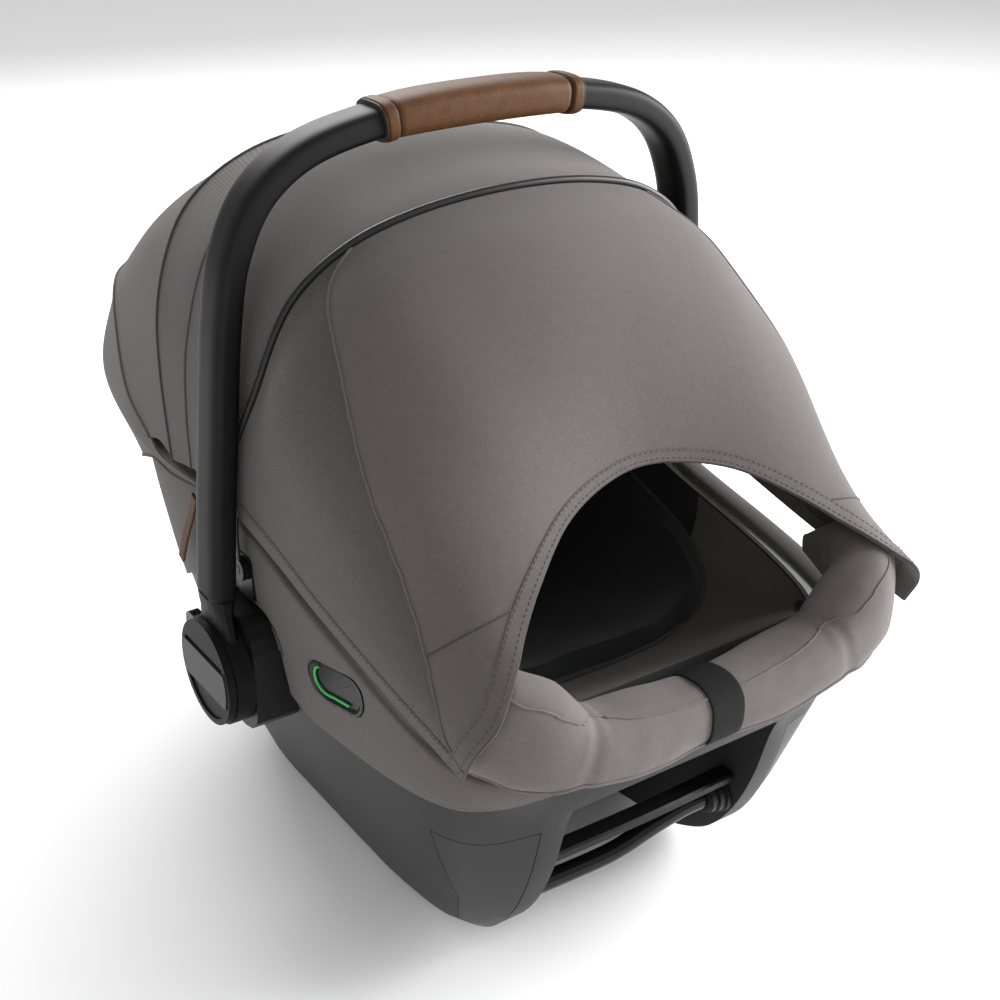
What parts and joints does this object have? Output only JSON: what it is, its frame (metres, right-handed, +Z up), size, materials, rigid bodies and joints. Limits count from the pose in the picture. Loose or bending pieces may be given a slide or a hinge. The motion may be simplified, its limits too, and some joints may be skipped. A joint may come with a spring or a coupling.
{
  "type": "infant car seat",
  "caption": "Rear-facing infant car seat with a swinging arched carry handle, a folding canopy with a drop-down front drape, foot cushion, harness and a shell on rocker runners.",
  "frame": {"origin": "below the middle of the whole object's box, on the surface that the two rocker runners rest on", "axes": "+Z up, -Y towards the child's feet, +X to the right seen from the foot end"},
  "size_m": [0.4398, 0.6554, 0.572],
  "materials": {
    "shell_plastic": "fine grained matte",
    "black_plastic": "satin",
    "gloss_black": "gloss",
    "handle_coat": "satin",
    "brown_leather": "smooth",
    "taupe_cloth": "plain weave",
    "side_mesh": "fine knit",
    "cushion_cloth": "plain weave",
    "black_cloth": "knit",
    "charcoal_cloth": "soft knit",
    "webbing": "woven strap",
    "foam": "moulded bead foam",
    "steel": "satin",
    "green_line": "satin",
    "red_plastic": "satin"
  },
  "bodies": {
    "seat": {"outer_shell": "shell_plastic", "foam_bowl": "foam", "seat_liner": "black_cloth", "seat_cover": "taupe_cloth", "foot_cushion": "cushion_cloth", "infant_insert": "charcoal_cloth", "head_pad": "charcoal_cloth", "crotch_strap": "webbing", "buckle_body": "black_plastic", "foot_webbing": "webbing", "cross_tube": "gloss_black", "tube_bush": "black_plastic", "cross_bar": "black_plastic", "lever_pin": "steel", "rear_panel": "taupe_cloth", "shoulder_strap_left": "webbing", "shoulder_pad_left": "charcoal_cloth", "lever_ear_left": "black_plastic", "leg_panel_left": "shell_plastic", "belt_guide_left": "black_plastic", "guide_stripe_left": "green_line", "hub_housing_left": "black_plastic", "pivot_pin_left": "steel", "gear_spring_left": "steel", "canopy_mount_left": "black_plastic", "leather_tab_left": "brown_leather", "shoulder_strap_right": "webbing", "shoulder_pad_right": "charcoal_cloth", "lever_ear_right": "black_plastic", "leg_panel_right": "shell_plastic", "belt_guide_right": "black_plastic", "guide_stripe_right": "green_line", "hub_housing_right": "black_plastic", "pivot_pin_right": "steel", "gear_spring_right": "steel", "canopy_mount_right": "black_plastic", "leather_tab_right": "brown_leather"},
    "handle": {"handle_tube": "handle_coat", "handle_grip": "brown_leather", "grip_ring_left": "brown_leather", "grip_ring_right": "brown_leather", "handle_arm_left": "handle_coat", "handle_arm_right": "handle_coat", "hub_cap_left": "handle_coat", "hub_cap_right": "handle_coat", "hub_badge_left": "handle_coat", "hub_badge_right": "handle_coat"},
    "button_left": {"release_button_left": "black_plastic"},
    "gear_left": {"lock_gear_left": "black_plastic"},
    "button_right": {"release_button_right": "black_plastic"},
    "gear_right": {"lock_gear_right": "black_plastic"},
    "mid_bow": {"mid_bow": "black_plastic", "back_panel": "taupe_cloth"},
    "front_bow": {"front_bow": "black_plastic", "top_panel": "taupe_cloth", "drape": "side_mesh"},
    "release_lever": {"release_lever": "black_plastic"},
    "buckle_button": {"buckle_button": "red_plastic"}
  },
  "joints": [
    {"name": "handle_hinge", "type": "hinge", "parent": "seat", "child": "handle", "pos_m": [0, -0.01278, 0.177], "axis": [1, 0, 0], "range_deg": [0, 100]},
    {"name": "canopy_mid_hinge", "type": "hinge", "parent": "seat", "child": "mid_bow", "pos_m": [0, -0.01078, 0.25], "axis": [-1, 0, 0], "range_deg": [0, 30], "deforming": ["back_panel", "rear_panel"]},
    {"name": "canopy_front_hinge", "type": "hinge", "parent": "mid_bow", "child": "front_bow", "pos_m": [0, -0.01078, 0.25], "axis": [-1, 0, 0], "range_deg": [0, 30], "deforming": ["top_panel", "drape"]},
    {"name": "release_lever_hinge", "type": "hinge", "parent": "seat", "child": "release_lever", "pos_m": [0, 0.21922, 0.064], "axis": [1, 0, 0], "range_deg": [0, 8], "stiffness_Nm_per_rad": 3, "springref_deg": -2.86},
    {"name": "buckle_button_slide", "type": "slide", "parent": "seat", "child": "buckle_button", "axis": [0, 0, -1], "range_m": [0, 0.003], "stiffness_N_per_m": 600, "springref_m": -0.001},
    {"name": "button_left_slide", "type": "slide", "parent": "handle", "child": "button_left", "axis": [0, -1, 0], "range_m": [0, 0.004], "stiffness_N_per_m": 600, "springref_m": -0.001},
    {"name": "gear_left_slide", "type": "slide", "parent": "handle", "child": "gear_left", "axis": [1, 0, 0], "range_m": [0, 0.0035], "stiffness_N_per_m": 300, "deforming": ["gear_spring_left"]},
    {"name": "button_right_slide", "type": "slide", "parent": "handle", "child": "button_right", "axis": [0, -1, 0], "range_m": [0, 0.004], "stiffness_N_per_m": 600, "springref_m": -0.001},
    {"name": "gear_right_slide", "type": "slide", "parent": "handle", "child": "gear_right", "axis": [-1, 0, 0], "range_m": [0, 0.0035], "stiffness_N_per_m": 300, "deforming": ["gear_spring_right"]}
  ],
  "couplings": [
    {"joint": "canopy_front_hinge", "follows": "canopy_mid_hinge", "ratio": 1},
    {"joint": "gear_left_slide", "follows": "button_left_slide", "ratio": 0.875},
    {"joint": "gear_right_slide", "follows": "button_right_slide", "ratio": 0.875}
  ]
}
